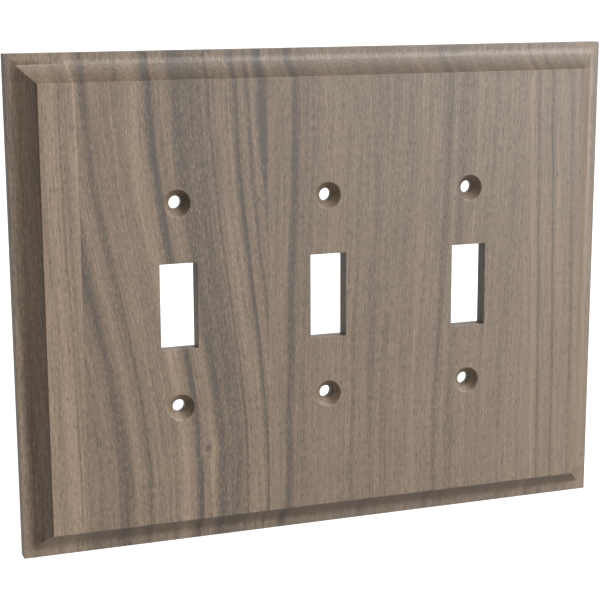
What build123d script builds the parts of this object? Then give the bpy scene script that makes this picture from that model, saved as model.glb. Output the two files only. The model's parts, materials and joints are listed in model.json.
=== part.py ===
from build123d import *
import os
from math import hypot, radians, tan

# Three-gang toggle switch wall plate, machined from a blank of walnut staves glued edge to edge.
# Millimetres. X to the right and Z up as the plate hangs, with the room towards -Y.
# The origin is on the wall's surface, at the middle of the plate.

# ---- overall sizes ----
plate_width = 185.5
plate_height = 146.0
plate_thickness = 10.3      # wall to raised field

# ---- staves, from left to right, as seen from the room ----
first_seam_x = -74.2        # seam between the left edge stave and the left stave
left_stave_width = 55.3
centre_stave_width = 83.5

# ---- machined border round the raised field ----
border_width = 7.85
rim_width = 2.6             # flat outer rim in front of the cove
rim_thickness = 4.2         # wall to rim
quirk_depth = 0.8           # square step from the field down to the cove
cove_hollow = 0.4           # how far the cove's arc lies below its chord
cove_lead_radius = 3.5      # where the cove runs out onto the rim

# ---- switch openings and their screws ----
gang_count = 3
gang_pitch = 46.04          # 1 13/16 in
slot_width = 11.11          # 7/16 in
slot_height = 25.4          # 1 in
screw_pitch = 60.33         # 2 3/8 in, between the two screws of a switch
screw_bore = 3.81           # clearance for a no. 6 screw
countersink_diameter = 7.9
countersink_angle = 82.0

# ---- recess in the back ----
web_thickness = 4.76        # wood left in front of the recess, 3/16 in
recess_wall = 12.7          # width of the back that rests on the wall, 1/2 in
recess_corner_radius = 6.35  # left by a 1/2 in cutter

# ---- worked out from the sizes above ----
field_y = -plate_thickness
rim_depth = plate_thickness - rim_thickness
recess_depth = plate_thickness - web_thickness
recess_width = plate_width - 2 * recess_wall
recess_height = plate_height - 2 * recess_wall
gang_places = [(i - (gang_count - 1) / 2) * gang_pitch for i in range(gang_count)]
screw_places = [(x, side * screw_pitch / 2) for x in gang_places for side in (-1, 1)]
second_seam_x = first_seam_x + left_stave_width
third_seam_x = second_seam_x + centre_stave_width
overrun = 2.0               # how far each cutter runs past the wood


def blank():
    """The glued blank, as wide, high and thick as the finished plate."""
    outline = Plane.XZ * Rectangle(plate_width, plate_height)
    return extrude(outline, plate_thickness)


def cove_arc(top, bottom):
    """The cove's hollow, from the foot of the quirk down to the inner edge of the rim."""
    run = bottom[0] - top[0]
    rise = bottom[1] - top[1]
    chord = hypot(run, rise)
    middle = ((top[0] + bottom[0]) / 2 + cove_hollow * rise / chord,
              (top[1] + bottom[1]) / 2 - cove_hollow * run / chord)
    return ThreePointArc(top, middle, bottom)


def border_cutter(half_height, side_length):
    """What is machined off one side: its profile, run along the whole side.

    The profile is drawn for the top side, Y through the thickness and Z up."""
    step_z = half_height - border_width
    rim_z = half_height - rim_width
    above = (field_y - overrun, step_z)
    step = (field_y + quirk_depth, step_z)
    foot = (field_y + rim_depth, rim_z)
    edge = (field_y + rim_depth, half_height + overrun)
    corner = (field_y - overrun, half_height + overrun)
    outline = Line(above, step) + cove_arc(step, foot) + Polyline(foot, edge, corner, above)
    profile = make_face(outline)
    nose = profile.vertices().sort_by_distance(Vector(*foot))[0]
    profile = Plane.YZ * fillet(nose, cove_lead_radius)
    return extrude(profile, side_length / 2 + overrun, both=True)


def border_cutters():
    """The four sides' cutters, which meet in mitres at the corners."""
    level = border_cutter(plate_height / 2, plate_width)
    upright = border_cutter(plate_width / 2, plate_height)
    return [level, Rot(0, 180, 0) * level, Rot(0, 90, 0) * upright, Rot(0, -90, 0) * upright]


def recess():
    """The routed recess that takes the switches' straps and the wall box's ears."""
    outline = RectangleRounded(recess_width, recess_height, recess_corner_radius)
    return extrude(Plane.XZ.offset(-overrun) * outline, recess_depth + overrun)


def toggle_slot(x):
    """The opening that one switch's toggle comes through."""
    through = plate_thickness + 2 * overrun
    return Pos(x, field_y / 2, 0) * Box(slot_width, through, slot_height)


def screw_hole(x, z):
    """One countersunk screw hole, drilled from the front."""
    bore_radius = screw_bore / 2
    flare = tan(radians(countersink_angle / 2))
    mouth_radius = countersink_diameter / 2 + overrun * flare
    sink_depth = (mouth_radius - bore_radius) / flare
    through = plate_thickness + 2 * overrun
    front = Pos(x, field_y - overrun, z) * Rot(-90, 0, 0)
    drill = Cylinder(bore_radius, through, align=(Align.CENTER, Align.CENTER, Align.MIN))
    sink = Cone(mouth_radius, bore_radius, sink_depth,
                align=(Align.CENTER, Align.CENTER, Align.MIN))
    return front * (drill + sink)


def machined_plate():
    """The blank with its border, recess, slots and screw holes cut."""
    plate = blank()
    for cutter in border_cutters():
        plate -= cutter
    plate -= recess()
    for x in gang_places:
        plate -= toggle_slot(x)
    for x, z in screw_places:
        plate -= screw_hole(x, z)
    return plate


def stave(plate, left, right):
    """The part of the plate between two seams."""
    keep = Box(right - left, plate_thickness + 2 * overrun, plate_height + 2 * overrun,
               align=(Align.MIN, Align.CENTER, Align.CENTER))
    return plate & (Pos(left, field_y / 2, 0) * keep)


def staves():
    """Each stave's name and solid. The two outer staves run out to the plate's edges."""
    plate = machined_plate()
    edge_x = plate_width / 2
    return {
        "left_edge_stave": stave(plate, -edge_x, first_seam_x),
        "left_stave": stave(plate, first_seam_x, second_seam_x),
        "centre_stave": stave(plate, second_seam_x, third_seam_x),
        "right_edge_stave": stave(plate, third_seam_x, edge_x),
    }


os.makedirs("parts", exist_ok=True)
for name, solid in staves().items():
    export_step(solid, f"parts/{name}.step")
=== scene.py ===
"""A three-gang toggle switch plate of walnut staves, modelled and set on a pale stage.

The plate is worked as a joiner would: a glued blank gets its border, recess, slots and screw
holes, its arrises are eased, and it is then parted at the glue lines into its staves."""

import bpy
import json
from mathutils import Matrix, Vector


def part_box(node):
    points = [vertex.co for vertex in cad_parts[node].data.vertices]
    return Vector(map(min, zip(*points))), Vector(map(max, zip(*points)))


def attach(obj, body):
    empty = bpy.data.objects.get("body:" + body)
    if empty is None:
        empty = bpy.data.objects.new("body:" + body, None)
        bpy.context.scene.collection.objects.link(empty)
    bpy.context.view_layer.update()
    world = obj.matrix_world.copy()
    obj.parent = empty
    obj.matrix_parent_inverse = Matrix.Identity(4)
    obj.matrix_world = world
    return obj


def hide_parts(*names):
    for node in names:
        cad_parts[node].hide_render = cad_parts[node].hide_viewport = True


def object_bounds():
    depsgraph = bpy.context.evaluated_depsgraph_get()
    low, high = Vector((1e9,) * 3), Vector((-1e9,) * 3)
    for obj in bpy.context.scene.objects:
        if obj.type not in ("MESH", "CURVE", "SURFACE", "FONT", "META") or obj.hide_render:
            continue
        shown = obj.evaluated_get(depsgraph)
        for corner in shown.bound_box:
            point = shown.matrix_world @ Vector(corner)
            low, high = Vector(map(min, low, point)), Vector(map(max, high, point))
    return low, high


bl_info = {
    "name": "Walnut switch plate",
    "version": (1, 0, 0),
    "blender": (4, 5, 0),
    "location": "3D View > Sidebar > Switch plate",
    "description": "Models a toggle switch plate of glued walnut staves, and a stage for it",
    "category": "Add Mesh",
}

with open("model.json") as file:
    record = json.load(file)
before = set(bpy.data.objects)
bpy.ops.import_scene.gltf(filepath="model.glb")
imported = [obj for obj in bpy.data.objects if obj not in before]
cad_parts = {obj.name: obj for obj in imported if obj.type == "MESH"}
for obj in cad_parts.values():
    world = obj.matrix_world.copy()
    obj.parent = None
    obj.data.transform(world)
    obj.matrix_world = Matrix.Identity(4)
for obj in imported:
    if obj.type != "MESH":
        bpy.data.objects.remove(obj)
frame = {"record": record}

import json
import math

import bmesh
import bpy
from mathutils import Quaternion, Vector

CAD_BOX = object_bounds()
MM = 0.001
HAIR = 1e-6          # a length below anything modelled

# The staves from left to right: CAD node, material slot.
STAVES = (
    ("left_edge_stave", "left_edge_walnut"),
    ("left_stave", "left_walnut"),
    ("centre_stave", "centre_walnut"),
    ("right_edge_stave", "right_edge_walnut"),
)


def mount(name):
    """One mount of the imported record."""
    return next(m for m in frame["record"]["mounts"] if m["name"] == name)


def seams():
    """Where the staves meet, from left to right, in metres."""
    return [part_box(node)[1].x for node, slot in STAVES[:-1]]


# ---------------------------------------------------------------------------------------------
# Sizes and colours
# ---------------------------------------------------------------------------------------------

def length(name, description, millimetres):
    """A length that the user can change."""
    return bpy.props.FloatProperty(name=name, description=description,
                                   default=millimetres * MM, min=0.0, unit="LENGTH")


def colour(name, description, default):
    """A colour that the user can change."""
    return bpy.props.FloatVectorProperty(name=name, description=description, default=default,
                                         size=3, min=0.0, max=1.0, subtype="COLOR")


class PlateSizes(bpy.types.PropertyGroup):
    """The machining of the plate. Its outline, staves and screw places come from the frame."""

    rim_width: length("Rim width", "Flat outer rim in front of the cove", 2.6)
    rim_thickness: length("Rim thickness", "From the wall to the front of the rim", 4.2)
    border_width: length("Border width", "From the plate's edge to its raised field", 7.85)
    quirk_depth: length("Quirk", "Square step from the field down to the cove", 0.8)
    cove_hollow: length("Cove hollow", "How far the cove's arc lies below its chord", 0.4)
    cove_lead: length("Cove lead", "Radius where the cove runs out onto the rim", 3.5)
    slot_width: length("Slot width", "Width of each toggle opening", 11.11)
    slot_height: length("Slot height", "Height of each toggle opening", 25.4)
    sink_width: length("Countersink", "Mouth of each screw hole", 7.9)
    sink_angle: bpy.props.FloatProperty(name="Countersink angle", default=math.radians(82),
                                        description="Full angle of the countersinks",
                                        subtype="ANGLE")
    web_thickness: length("Web", "Wood left in front of the recess", 4.76)
    recess_wall: length("Back margin", "Width of the back that rests on the wall", 12.7)
    recess_radius: length("Recess corners", "Corner radius of the recess", 6.35)
    arris: length("Arris", "How much the sharp edges are eased", 0.16)


class PlateColours(bpy.types.PropertyGroup):
    """The walnut's colours, from its palest wood to its darkest streaks."""

    palest: colour("Palest", "Wood between the streaks", (0.142, 0.098, 0.064))
    pale: colour("Pale", "Plain wood", (0.101, 0.068, 0.0415))
    middle: colour("Middle", "Wood beside a streak", (0.068, 0.0445, 0.025))
    dark: colour("Dark", "Streaks", (0.041, 0.026, 0.013))
    darkest: colour("Darkest", "Hearts of the streaks", (0.020, 0.0125, 0.0065))


class StageLook(bpy.types.PropertyGroup):
    """The stage, the camera and the lamps."""

    floor_drop: length("Floor drop", "From the bottom of the plate to the floor", 750.0)
    floor_size: length("Floor size", "Width of the floor", 8000.0)
    sweep_distance: length("Sweep distance", "From the plate to the upright backdrop", 3000.0)
    paper: colour("Paper", "The floor and backdrop", (0.8, 0.8, 0.8))
    lens: bpy.props.FloatProperty(name="Lens", description="Focal length in millimetres",
                                  default=93.93, min=1.0)


SQUARE = 0.9                 # a face is picked by its normal if it points this squarely
COVE_STEPS = 12              # steps in each of the cove's two arcs
CORNER_STEPS = 10            # steps round a corner of the recess
HOLE_SIDES = 72              # sides of a screw hole
ARRIS_STEPS = 3              # steps across an eased edge
EASED = math.radians(38)     # edges sharper than this are eased
CRISP = math.radians(33)     # edges sharper than this stay crisp in the shading
OVERRUN = MM                 # how far a screw hole's cutter starts in front of the wood


# ---------------------------------------------------------------------------------------------
# Working in edit mode
# ---------------------------------------------------------------------------------------------

def put_down():
    """Leaves edit mode and deselects everything."""
    if bpy.context.mode != "OBJECT":
        bpy.ops.object.mode_set(mode="OBJECT")
    bpy.ops.object.select_all(action="DESELECT")


def take_up(piece):
    """Makes one object the selected and active one."""
    put_down()
    piece.select_set(True)
    bpy.context.view_layer.objects.active = piece


def edit(piece):
    """Opens one object in edit mode with all of it selected."""
    take_up(piece)
    bpy.ops.object.mode_set(mode="EDIT")
    bpy.ops.mesh.select_all(action="SELECT")


def pick(kind, test):
    """Selects only the faces or edges of the open mesh that pass a test."""
    bpy.ops.mesh.select_mode(type="FACE" if kind == "faces" else "EDGE")
    bpy.ops.mesh.select_all(action="DESELECT")
    data = bpy.context.object.data
    mesh = bmesh.from_edit_mesh(data)
    for part in getattr(mesh, kind):
        if test(part):
            part.select_set(True)
    mesh.select_flush_mode()
    bmesh.update_edit_mesh(data)


def apply_modifier(piece, kind, **settings):
    """Adds a modifier to a piece, sets it and applies it."""
    take_up(piece)
    bpy.ops.object.modifier_add(type=kind)
    modifier = piece.modifiers[-1]
    for name, value in settings.items():
        setattr(modifier, name, value)
    bpy.ops.object.modifier_apply(modifier=modifier.name)


def apply_place(piece):
    """Moves a piece's place, turn and scale into its mesh."""
    take_up(piece)
    bpy.ops.object.transform_apply(location=True, rotation=True, scale=True)


def scrap(piece):
    """Throws a cutter away."""
    take_up(piece)
    bpy.ops.object.delete()


# ---------------------------------------------------------------------------------------------
# The plate
# ---------------------------------------------------------------------------------------------

def cove_steps(sizes):
    """The cove from the rim up to the quirk: how far in and how far out each step goes.

    The first of them is measured from the rim's outer edge. A cutter's small radius leads from
    the flat rim into the cove's wide arc, which ends at the foot of the quirk."""
    count = COVE_STEPS
    thickness = CAD_BOX[1].y - CAD_BOX[0].y
    across = sizes.border_width - sizes.rim_width
    up = thickness - sizes.rim_thickness - sizes.quirk_depth
    chord = math.hypot(across, up)
    radius = chord * chord / (8 * sizes.cove_hollow) + sizes.cove_hollow / 2
    half_turn = math.asin(chord / (2 * radius))
    slope = math.atan2(up, across)
    centre_x = sizes.rim_width - radius * math.sin(slope - half_turn)
    centre_y = radius * math.cos(slope - half_turn)
    small = sizes.cove_lead
    lead_x = centre_x + math.sqrt((radius - small) ** 2 - (centre_y - small) ** 2)
    meet = math.asin((lead_x - centre_x) / (radius - small))
    end = slope + half_turn
    points = [(lead_x, 0.0)]
    for i in range(1, count + 1):
        angle = meet * i / count
        points.append((lead_x + small * math.sin(angle), small * (1 - math.cos(angle))))
    for i in range(1, count + 1):
        angle = meet + (end - meet) * i / count
        points.append((centre_x + radius * math.sin(angle),
                       centre_y - radius * math.cos(angle)))
    steps = [(points[0][0], 0.0)]
    steps += [(far[0] - near[0], far[1] - near[1]) for near, far in zip(points, points[1:])]
    return steps


def blank(sizes):
    """The rim's slab, the full size of the plate, with the raised field drawn up out of it."""
    low, high = CAD_BOX
    put_down()
    middle = (low + high) / 2
    middle.y = high.y - sizes.rim_thickness / 2
    scale = (high.x - low.x, sizes.rim_thickness, high.z - low.z)
    bpy.ops.mesh.primitive_cube_add(size=1.0, location=middle, scale=scale)
    plate = bpy.context.object
    apply_place(plate)
    edit(plate)
    pick("faces", lambda face: face.normal.y < -SQUARE)
    for across, up in cove_steps(sizes):
        bpy.ops.mesh.inset(thickness=across, depth=up)
    move = {"value": (0.0, -sizes.quirk_depth, 0.0)}
    bpy.ops.mesh.extrude_region_move(TRANSFORM_OT_translate=move)
    put_down()
    return plate


def rout_recess(plate, sizes):
    """Sinks the recess into the back, with the corners that a round cutter leaves."""
    low, high = CAD_BOX
    deep = high.y - low.y - sizes.web_thickness
    edit(plate)
    pick("faces", lambda face: face.normal.y > SQUARE)
    bpy.ops.mesh.inset(thickness=sizes.recess_wall, depth=0.0)
    bpy.ops.mesh.extrude_region_move(TRANSFORM_OT_translate={"value": (0.0, -deep, 0.0)})
    inner_x = high.x - sizes.recess_wall

    def in_corner(edge):
        one, other = (v.co for v in edge.verts)
        upright = abs(one.x - other.x) < HAIR and abs(one.z - other.z) < HAIR
        return upright and abs(abs(one.x) - inner_x) < HAIR * 10

    pick("edges", in_corner)
    bpy.ops.mesh.bevel(offset=sizes.recess_radius, segments=CORNER_STEPS, affect="EDGES")
    put_down()


def slot_cutter(x, sizes):
    """A bar that cuts one toggle slot."""
    low, high = CAD_BOX
    through = 2 * (high.y - low.y)
    put_down()
    bpy.ops.mesh.primitive_cube_add(size=1.0, location=(x, (low.y + high.y) / 2, 0.0),
                                    scale=(sizes.slot_width, through, sizes.slot_height))
    cutter = bpy.context.object
    apply_place(cutter)
    return cutter


def screw_cutter(x, z, bore, sizes):
    """A cone that flares the mouth of a screw hole, drawn out into its drill."""
    low, high = CAD_BOX
    flare = math.tan(sizes.sink_angle / 2)
    mouth = sizes.sink_width / 2 + OVERRUN * flare
    deep = (mouth - bore) / flare
    front = low.y - OVERRUN
    put_down()
    bpy.ops.mesh.primitive_cone_add(vertices=HOLE_SIDES, radius1=mouth, radius2=bore, depth=deep,
                                    location=(x, front + deep / 2, z),
                                    rotation=(math.radians(-90), 0.0, 0.0))
    cutter = bpy.context.object
    apply_place(cutter)
    edit(cutter)
    pick("faces", lambda face: face.normal.y > SQUARE)
    bpy.ops.mesh.extrude_region_move(
        TRANSFORM_OT_translate={"value": (0.0, high.y + OVERRUN - front - deep, 0.0)})
    put_down()
    return cutter


def machined_plate(sizes):
    """The whole plate, before it is parted into its staves."""
    plate = blank(sizes)
    rout_recess(plate, sizes)
    screws = mount("outer_screws")["dims"]
    pitch = screws["spacing_x_mm"] * MM / 2
    rise = screws["spacing_y_mm"] * MM / 2
    bore = screws["hole_r_mm"] * MM
    for x in (-pitch, 0.0, pitch):
        cutters = [slot_cutter(x, sizes)]
        cutters += [screw_cutter(x, z, bore, sizes) for z in (-rise, rise)]
        for cutter in cutters:
            apply_modifier(plate, "BOOLEAN", object=cutter, operation="DIFFERENCE",
                           solver="EXACT")
            scrap(cutter)
    apply_modifier(plate, "BEVEL", width=sizes.arris, segments=ARRIS_STEPS,
                   limit_method="ANGLE", angle_limit=EASED, use_clamp_overlap=True)
    return plate


def saw_out(plate, node, left, right):
    """A copy of the plate, cut off at the glue lines on its left and right."""
    take_up(plate)
    bpy.ops.object.duplicate()
    piece = bpy.context.object
    piece.name = piece.data.name = f"walnut_{node}"
    edit(piece)
    for x, side in ((left, "clear_inner"), (right, "clear_outer")):
        if x is not None:
            bpy.ops.mesh.select_all(action="SELECT")
            bpy.ops.mesh.bisect(plane_co=(x, 0.0, 0.0), plane_no=(1.0, 0.0, 0.0),
                                use_fill=True, **{side: True})
    bpy.ops.mesh.select_all(action="SELECT")
    bpy.ops.mesh.remove_doubles(threshold=HAIR)
    bpy.ops.mesh.normals_make_consistent(inside=False)
    take_up(piece)
    bpy.ops.object.shade_smooth_by_angle(angle=CRISP)
    apply_modifier(piece, "WEIGHTED_NORMAL", mode="FACE_AREA", weight=100, keep_sharp=True)
    put_down()
    return piece


# ---------------------------------------------------------------------------------------------
# Materials
# ---------------------------------------------------------------------------------------------

class Wire:
    """A value on its way through a material. Arithmetic on it adds Math nodes."""

    def __init__(self, finish, socket):
        self.finish = finish
        self.socket = socket

    def math(self, operation, first, second=0.0):
        """One Math node."""
        return self.finish.node("ShaderNodeMath", {"operation": operation},
                                {0: first, 1: second})

    def __add__(self, other):
        return self.math("ADD", self, other)

    def __sub__(self, other):
        return self.math("SUBTRACT", self, other)

    def __rsub__(self, other):
        return self.math("SUBTRACT", other, self)

    def __mul__(self, other):
        return self.math("MULTIPLY", self, other)

    def __truediv__(self, other):
        return self.math("DIVIDE", self, other)

    __radd__ = __add__
    __rmul__ = __mul__

    def __abs__(self):
        return self.math("ABSOLUTE", self)

    def smooth(self, low, high):
        """0 below low and 1 above high, with a smooth rise between; low may be the larger."""
        return self.finish.node("ShaderNodeMapRange", {"interpolation_type": "SMOOTHSTEP"},
                                {0: self, 1: low, 2: high})


class Finish:
    """A material under construction, with a Principled shader ready."""

    def __init__(self, name):
        self.material = bpy.data.materials.new(name)
        self.material.use_nodes = True
        self.tree = self.material.node_tree
        self.shader = self.tree.nodes["Principled BSDF"]

    def node(self, kind, settings=None, inputs=None, output=0):
        """Adds a node, with its settings first and then its sockets' values or links."""
        node = self.tree.nodes.new(kind)
        for name, value in (settings or {}).items():
            if name == "stops":
                self.set_stops(node.color_ramp.elements, value)
            else:
                setattr(node, name, value)
        for key, value in (inputs or {}).items():
            self.feed(node.inputs[key], value)
        return Wire(self, node.outputs[output])

    def set_stops(self, elements, stops):
        """Gives a colour ramp its stops."""
        while len(elements) < len(stops):
            elements.new(1.0)
        for element, (position, tint) in zip(elements, stops):
            element.position = position
            element.color = (*tint, 1.0)

    def feed(self, socket, value):
        """Links a wire to a socket, or sets the socket."""
        if isinstance(value, Wire):
            self.tree.links.new(value.socket, socket)
        elif isinstance(value, (tuple, list)) and len(value) < len(socket.default_value):
            socket.default_value = (*value, 1.0)
        else:
            socket.default_value = value

    def shade(self, values):
        """Sets or links the Principled shader's sockets."""
        for name, value in values.items():
            self.feed(self.shader.inputs[name], value)

    def millimetres(self):
        """The place on the piece, in millimetres."""
        place = self.node("ShaderNodeTexCoord", output="Object")
        scaled = self.node("ShaderNodeVectorMath", {"operation": "SCALE"},
                           {0: place, "Scale": 1 / MM})
        split = self.node("ShaderNodeSeparateXYZ", inputs={0: scaled})
        outputs = split.socket.node.outputs
        return [Wire(self, outputs[axis]) for axis in "XYZ"]

    def noise(self, x, y, z, detail=2.0, roughness=0.5):
        """Smooth noise about nought, most of it within a half either way."""
        place = self.node("ShaderNodeCombineXYZ", inputs={0: x, 1: y, 2: z})
        value = self.node("ShaderNodeTexNoise", inputs={"Vector": place, "Scale": 1.0,
                                                        "Detail": detail,
                                                        "Roughness": roughness})
        return (value - 0.5) * 2.0

    def distance(self, across, along):
        """How far a place is from nought, given its two offsets."""
        offset = self.node("ShaderNodeCombineXYZ", inputs={0: across, 1: along})
        return self.node("ShaderNodeVectorMath", {"operation": "LENGTH"}, {0: offset}, output=1)

    def blend(self, amount, first, second):
        """Mixes two colours."""
        return self.node("ShaderNodeMix", {"data_type": "RGBA"},
                         {0: amount, 6: first, 7: second}, output=2)


class Figure:
    """How the grain of one stave runs, in millimetres at the plate's top edge.

    shift and fan say how the grain drifts on its way down; lean, how it dips into the wood.
    Each streak is (place, width of its left flank, width of its right flank, strength); a
    strength below nought is a pale streak. A knot is (x, z, radius)."""

    def __init__(self, seed, tone, shift, fan, lean, bands, fibres, specks, streaks, knots=()):
        self.seed = seed
        self.tone = tone
        self.shift = shift
        self.fan = fan
        self.lean = lean
        self.bands = bands
        self.fibres = fibres
        self.specks = specks
        self.streaks = streaks
        self.knots = knots


FIGURES = {
    "left_edge_walnut": Figure(
        seed=3.0, tone=0.24, shift=3.0, fan=0.0, lean=0.1, bands=0.06, fibres=0.22, specks=0.32,
        # The first streak, a broad dark band down the outer rim, is partly the wood's own darker
        # edge and partly painted shade where the raised field shades the left rim.
        streaks=((-91.5, 3.5, 4.0, 0.25), (-84.6, 1.5, 1.5, 0.08), (-81.6, 2.0, 1.6, -0.07),
                 (-79.2, 0.7, 0.7, 0.26), (-77.8, 1.6, 2.0, 0.14), (-74.8, 0.7, 0.5, -0.18))),
    "left_walnut": Figure(
        seed=11.0, tone=0.42, shift=4.6, fan=0.17, lean=-0.1, bands=0.08, fibres=0.29,
        specks=0.40,
        streaks=((-90.0, 8.0, 5.0, 0.10), (-81.2, 7.5, 4.2, 0.36), (-76.4, 1.6, 1.6, -0.05),
                 (-72.3, 3.2, 1.4, 0.32), (-62.8, 2.5, 1.5, 0.08), (-59.4, 4.0, 3.5, -0.17),
                 (-53.5, 4.2, 1.1, 0.52), (-50.0, 1.6, 1.8, -0.07), (-46.2, 3.6, 4.2, 0.48),
                 (-41.5, 6.0, 6.5, 0.30), (-36.5, 1.0, 0.8, 0.30), (-33.4, 1.8, 1.6, -0.12),
                 (-30.7, 1.6, 0.9, -0.16), (-28.4, 1.8, 0.8, 0.46), (-26.5, 1.0, 1.0, -0.06),
                 (-24.6, 1.3, 1.0, 0.32), (-20.3, 3.8, 2.2, 0.66), (-30.0, 14.0, 9.0, 0.10)),
        knots=((-37.9, -43.3, 1.0),)),
    "centre_walnut": Figure(
        seed=23.0, tone=0.48, shift=-3.0, fan=0.03, lean=0.1, bands=0.06, fibres=0.26,
        specks=0.34,
        streaks=((-18.6, 1.0, 0.8, 0.15), (-16.6, 1.2, 1.6, -0.10), (-10.2, 2.2, 2.6, 0.44),
                 (-6.0, 3.0, 4.0, 0.10), (1.5, 3.5, 4.0, -0.04), (10.5, 2.0, 1.4, 0.10),
                 (16.5, 3.5, 3.0, 0.16), (21.5, 3.0, 3.0, 0.10), (26.5, 2.0, 2.0, 0.06),
                 (31.0, 1.8, 1.8, -0.09), (39.2, 2.2, 2.0, 0.26), (44.5, 3.5, 2.6, 0.16),
                 (49.0, 1.4, 1.2, -0.07), (51.0, 1.0, 1.0, 0.08), (54.6, 0.8, 0.8, 0.09),
                 (62.0, 1.5, 1.5, 0.05))),
    "right_edge_walnut": Figure(
        seed=41.0, tone=0.42, shift=2.2, fan=0.0, lean=0.1, bands=0.06, fibres=0.23, specks=0.22,
        streaks=((67.2, 1.6, 0.9, -0.15), (68.9, 0.6, 1.5, 0.28), (74.0, 1.2, 0.9, 0.30),
                 (75.8, 0.7, 0.9, -0.06), (80.3, 0.8, 1.4, 0.22), (83.8, 1.2, 2.0, 0.14),
                 (89.5, 2.5, 2.5, -0.05))),
}


GRAIN_TOP, GRAIN_FOOT = 66.0, -55.0      # the heights between which the grain drifts
SWAY, RIPPLE = 0.5, 0.5                  # how far the grain wanders
KNOT_STRETCH = 0.7                       # a knot's width over its height
KNOT_REACH, KNOT_SWERVE = 5.0, 0.8       # how far off, in its radii, it turns the grain aside
KNOT_CORE = 0.4                          # its solid middle, as a part of its radius
STREAK_GAIN, STREAK_FADE = 1.12, 0.6     # the streaks' strength, and how it comes and goes
STREAK_SPECKS = 1.5                      # how much more a streak is speckled than plain wood
COVE_EDGES = (8.1, 7.7), (1.8, 5.6)      # from the plate's top or bottom in to a cove's edges
COVE_DEPTH = (-3.0, -4.0)                # and where the wood in front of its rim starts
COVE_SHADE_TONE = 0.11                         # how much darker the coves are painted: the end grain's own tone and painted shade towards the quirk
FOOT_PAINTED_LIGHT = 0.09                         # painted light: how much paler the foot of the plate is painted than its top
PORE_EDGE = (0.26, 0.56)                 # the noise between which a pore opens
PORE_TINT, KNOT_TINT, GLUE_TINT = 0.55, 0.85, 0.35
GLUE_LINE = (0.16, 0.04)                 # half the width of a glue line, outside and inside


def streak(grain, place, left, right, strength):
    """One streak along the grain, strongest at its place."""
    rise = grain.smooth(place - left, place)
    fall = grain.smooth(place + right, place)
    return rise * rise * fall * strength


def walnut(name, figure, colours, seam_places):
    """Oiled walnut whose figure runs through the wood, down the length of the stave."""
    wood = Finish(name)
    x, y, z = wood.millimetres()
    down = z.smooth(GRAIN_TOP, GRAIN_FOOT)
    front = -CAD_BOX[0].y / MM
    sway = wood.noise(x * 0.018 + figure.seed, y * 0.02, z * 0.011, detail=3.0)
    ripple = wood.noise(x * 0.11 + figure.seed, y * 0.06, z * 0.045)
    straight = (x - down * figure.shift) / (1.0 - down * figure.fan)
    grain = straight + (y + front) * figure.lean + sway * SWAY + ripple * RIPPLE
    heart = 0.0
    for knot_x, knot_z, radius in figure.knots:
        away = wood.distance(x - knot_x, (z - knot_z) * KNOT_STRETCH)
        grain = grain - away.smooth(radius * KNOT_REACH, 0.0) * (x - knot_x) * KNOT_SWERVE
        heart = heart + away.smooth(radius, radius * KNOT_CORE)

    fade = wood.noise(grain * 0.10, figure.seed, z * 0.018, detail=1.0)
    streaks = sum(streak(grain, *one) for one in figure.streaks)
    bands = wood.noise(grain * 0.55, figure.seed + y * 0.05, z * 0.012, detail=2.0)
    fibres = wood.noise(grain * 2.2, y * 1.4 + figure.seed, z * 0.05, detail=3.0, roughness=0.75)
    specks = wood.noise(grain * 2.8 + z * 0.17, y * 2.9 + figure.seed, z * 0.6 - grain * 0.1,
                        detail=3.0, roughness=0.75)
    inward = CAD_BOX[1].z / MM - abs(z)
    # Painted shade on the top and bottom coves, deepening towards the quirk, together with the
    # end grain's own darker tone.
    end_grain_and_shade = y.smooth(*COVE_DEPTH)
    for edge in COVE_EDGES:
        end_grain_and_shade = end_grain_and_shade * inward.smooth(*edge)
    # Painted light: the last term paints the plate paler towards its foot.
    tone = (figure.tone + streaks * (STREAK_GAIN + fade * STREAK_FADE)
            + bands * figure.bands * 2.0 + fibres * figure.fibres * 2.0
            + specks * (streaks * STREAK_SPECKS + 1.0) * figure.specks * 2.0
            + end_grain_and_shade * COVE_SHADE_TONE + (0.5 - down) * FOOT_PAINTED_LIGHT)

    tints = (colours.palest, colours.pale, colours.middle, colours.dark, colours.darkest)
    stops = [(i / 4, tuple(tint)) for i, tint in enumerate(tints)]
    tint = wood.node("ShaderNodeValToRGB", {"stops": stops}, {0: tone})

    pores = wood.noise(grain * 3.6, y * 3.6, z * 0.35 + figure.seed, detail=0.0)
    pore = pores.smooth(*PORE_EDGE)
    glue = 0.0
    for place in seam_places:
        glue = glue + abs(x - place / MM).smooth(*GLUE_LINE)
    for mark, strength in ((pore, PORE_TINT), (heart, KNOT_TINT), (glue, GLUE_TINT)):
        tint = wood.blend(mark * strength, tint, tuple(colours.darkest))

    relief = fibres * 0.4 + specks * 0.3 - pore * 1.2
    bump = wood.node("ShaderNodeBump", inputs={"Strength": 0.35, "Distance": 0.05 * MM,
                                               "Height": relief})
    wood.shade({"Base Color": tint, "Roughness": 0.48 + tone * 0.05 + pore * 0.2,
                "Coat Weight": 0.25, "Coat Roughness": 0.5, "Normal": bump})
    return wood.material


# ---------------------------------------------------------------------------------------------
# Operators
# ---------------------------------------------------------------------------------------------

class SWITCHPLATE_OT_staves(bpy.types.Operator):
    """Machines the plate from its glued blank and parts it into its walnut staves"""

    bl_idname = "switchplate.staves"
    bl_label = "Walnut staves"
    bl_options = {"REGISTER", "UNDO"}

    def execute(self, context):
        scene = context.scene
        plate = machined_plate(scene.plate_sizes)
        lines = seams()
        edges = [None, *lines, None]
        for (node, slot), left, right in zip(STAVES, edges[:-1], edges[1:]):
            piece = saw_out(plate, node, left, right)
            near = [line for line in (left, right) if line is not None]
            piece.data.materials.clear()
            finish = walnut(f"oiled_{slot}", FIGURES[slot], scene.plate_colours, near)
            piece.data.materials.append(finish)
            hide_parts(node)
            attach(piece, "root")
        scrap(plate)
        return {"FINISHED"}


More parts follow.
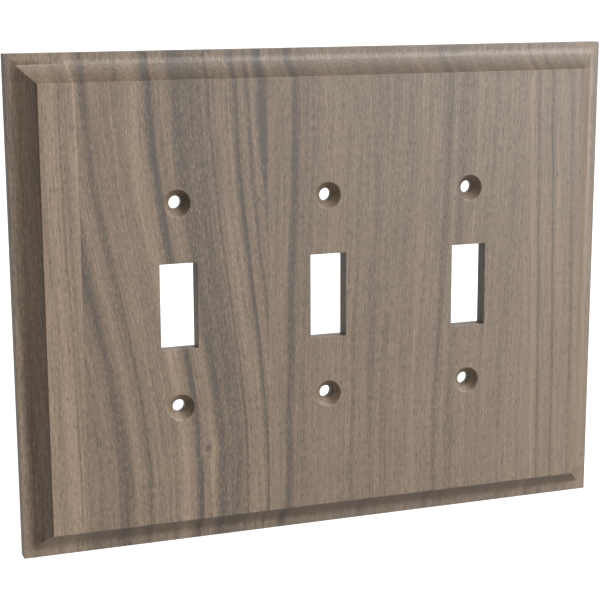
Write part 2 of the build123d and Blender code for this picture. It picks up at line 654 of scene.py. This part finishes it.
# The lamps on the plate: name, place, width in metres, power in watts. They look at its middle.
PLATE_LAMPS = (
    ("window", (1.22, -1.08, 0.70), 1.92, 97.0),
    ("reflector", (0.1, -0.5, -0.7), 1.2, 4.8),
    ("overhead", (0.4, -0.7, 1.1), 0.9, 10.0),
)
SKY_STRENGTH = 0.6
SWEEP_STEPS = 16             # steps round the bend of the backdrop

CAMERA_PLACE = (-0.16214, -0.43868, 0.09419)
CAMERA_AIM = (-0.00900, -0.01030, -0.00068)
CAMERA_ROLL = math.radians(-0.24)


def lamp(name, place, aim, size, power):
    """A soft square lamp that looks at a point."""
    put_down()
    bpy.ops.object.light_add(type="AREA", location=place)
    light = bpy.context.object
    light.name = name
    light.data.size = size
    light.data.energy = power
    light.rotation_euler = (Vector(aim) - Vector(place)).to_track_quat("-Z", "Y").to_euler()
    return light


def light_only(light, target):
    """Keeps a lamp's light on one object, and only that object's shadows in it."""
    group = bpy.data.collections.new(f"lit by the {light.name}")
    group.objects.link(target)
    light.light_linking.receiver_collection = group
    light.light_linking.blocker_collection = group


def keep_off(light, target):
    """Keeps a lamp's light off one object."""
    group = bpy.data.collections.new(f"not lit by the {light.name}")
    group.objects.link(target)
    group.collection_objects[0].light_linking.link_state = "EXCLUDE"
    light.light_linking.receiver_collection = group


def backdrop(look):
    """A pale floor that sweeps up behind the plate."""
    low, high = CAD_BOX
    floor_z = low.z - look.floor_drop
    put_down()
    bpy.ops.mesh.primitive_plane_add(size=look.floor_size,
                                     location=(0.0, look.sweep_distance - look.floor_size / 2,
                                               floor_z))
    floor = bpy.context.object
    floor.name = "floor"
    apply_place(floor)
    edit(floor)

    def at_back(edge):
        return all(abs(v.co.y - look.sweep_distance) < HAIR * 100 for v in edge.verts)

    def at_bend(edge):
        return at_back(edge) and all(abs(v.co.z - floor_z) < HAIR * 100 for v in edge.verts)

    pick("edges", at_back)
    bpy.ops.mesh.extrude_region_move(
        TRANSFORM_OT_translate={"value": (0.0, 0.0, look.floor_size / 4)})
    pick("edges", at_bend)
    bpy.ops.mesh.bevel(offset=look.sweep_distance / 3, segments=SWEEP_STEPS, affect="EDGES")
    take_up(floor)
    bpy.ops.object.shade_smooth()
    put_down()
    paper = Finish("paper")
    paper.shade({"Base Color": tuple(look.paper), "Roughness": 0.9})
    floor.data.materials.append(paper.material)
    return floor


def camera(look):
    """The camera, a little above the plate and well to its left."""
    put_down()
    bpy.ops.object.camera_add(location=CAMERA_PLACE)
    view = bpy.context.object
    sight = Vector(CAMERA_AIM) - Vector(CAMERA_PLACE)
    level = sight.to_track_quat("-Z", "Y")
    view.rotation_mode = "QUATERNION"
    view.rotation_quaternion = level @ Quaternion((0.0, 0.0, 1.0), CAMERA_ROLL)
    view.data.lens = look.lens
    view.data.sensor_width = 36.0
    view.data.clip_start = 0.01
    bpy.context.scene.camera = view


def daylight():
    """A plain even sky."""
    world = bpy.data.worlds.new("studio")
    world.use_nodes = True
    sky = world.node_tree.nodes["Background"]
    sky.inputs["Color"].default_value = (1.0, 1.0, 1.0, 1.0)
    sky.inputs["Strength"].default_value = SKY_STRENGTH
    bpy.context.scene.world = world


class SWITCHPLATE_OT_stage(bpy.types.Operator):
    """Sets the pale floor, the camera and the soft lamps"""

    bl_idname = "switchplate.stage"
    bl_label = "Stage"
    bl_options = {"REGISTER", "UNDO"}

    def execute(self, context):
        look = context.scene.stage_look
        paper = backdrop(look)
        camera(look)
        daylight()
        for name, place, size, power in PLATE_LAMPS:
            keep_off(lamp(name, place, (0.0, 0.0, 0.0), size, power), paper)
        light_only(lamp("backdrop lamp", (1.1, 2.2, 0.9), (1.1, 2.8, -0.6), 2.0, 44.0), paper)
        context.scene.view_settings.view_transform = "Standard"
        return {"FINISHED"}


class SWITCHPLATE_PT_panel(bpy.types.Panel):
    """The switch plate's tools"""

    bl_idname = "SWITCHPLATE_PT_panel"
    bl_label = "Switch plate"
    bl_space_type = "VIEW_3D"
    bl_region_type = "UI"
    bl_category = "Switch plate"

    def draw(self, context):
        scene = context.scene
        for group in (scene.plate_sizes, scene.plate_colours, scene.stage_look):
            box = self.layout.box()
            for name in group.__annotations__:
                box.prop(group, name)
        for operator in (SWITCHPLATE_OT_staves, SWITCHPLATE_OT_stage):
            self.layout.operator(operator.bl_idname)


CLASSES = (PlateSizes, PlateColours, StageLook, SWITCHPLATE_OT_staves, SWITCHPLATE_OT_stage,
           SWITCHPLATE_PT_panel)


def register():
    """Adds the tools and their settings."""
    for one in CLASSES:
        bpy.utils.register_class(one)
    bpy.types.Scene.plate_sizes = bpy.props.PointerProperty(type=PlateSizes)
    bpy.types.Scene.plate_colours = bpy.props.PointerProperty(type=PlateColours)
    bpy.types.Scene.stage_look = bpy.props.PointerProperty(type=StageLook)


def unregister():
    """Takes the tools and their settings away."""
    del bpy.types.Scene.stage_look
    del bpy.types.Scene.plate_colours
    del bpy.types.Scene.plate_sizes
    for one in reversed(CLASSES):
        bpy.utils.unregister_class(one)


def main():
    """Makes the plate and its stage."""
    register()
    bpy.ops.switchplate.staves()
    bpy.ops.switchplate.stage()


if __name__ == "__main__":
    main()
